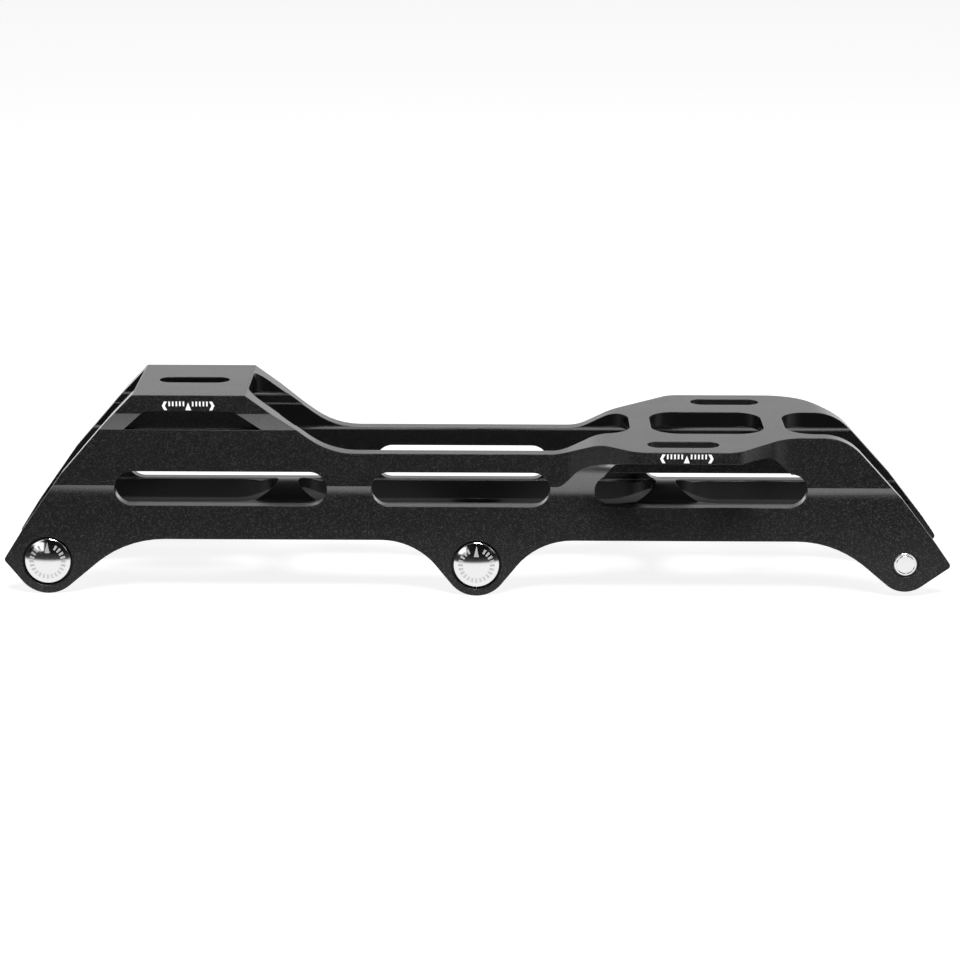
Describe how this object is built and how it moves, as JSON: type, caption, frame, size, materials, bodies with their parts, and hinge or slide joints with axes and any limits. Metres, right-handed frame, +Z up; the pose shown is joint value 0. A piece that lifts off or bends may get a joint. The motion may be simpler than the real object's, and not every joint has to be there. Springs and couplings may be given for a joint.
{
  "type": "inline skate frame",
  "caption": "Black one-piece inline skate frame with staggered front wings, a raised rear deck, side windows and screw-in wheel axles.",
  "frame": {"origin": "on the middle plane, under the middle axle, at the lowest point of the frame", "axes": "+X to the toe, +Y across to the inner side of the foot, +Z up to the boot"},
  "size_m": [0.259, 0.07, 0.0566],
  "materials": {
    "black_anodised": "satin black anodised over a fine blasted grain",
    "polished_steel": "polished"
  },
  "bodies": {
    "frame": {"frame_body": "black_anodised"},
    "rear_axle_body": {"rear_axle": "polished_steel"},
    "middle_axle_body": {"middle_axle": "polished_steel"},
    "front_axle_body": {"front_axle": "polished_steel"}
  },
  "joints": [
    {"name": "rear_axle_draw", "type": "slide", "parent": "frame", "child": "rear_axle_body", "axis": [0, -1, 0], "range_m": [0, 0.045]},
    {"name": "middle_axle_draw", "type": "slide", "parent": "frame", "child": "middle_axle_body", "axis": [0, -1, 0], "range_m": [0, 0.045]},
    {"name": "front_axle_draw", "type": "slide", "parent": "frame", "child": "front_axle_body", "axis": [0, 1, 0], "range_m": [0, 0.045]}
  ]
}
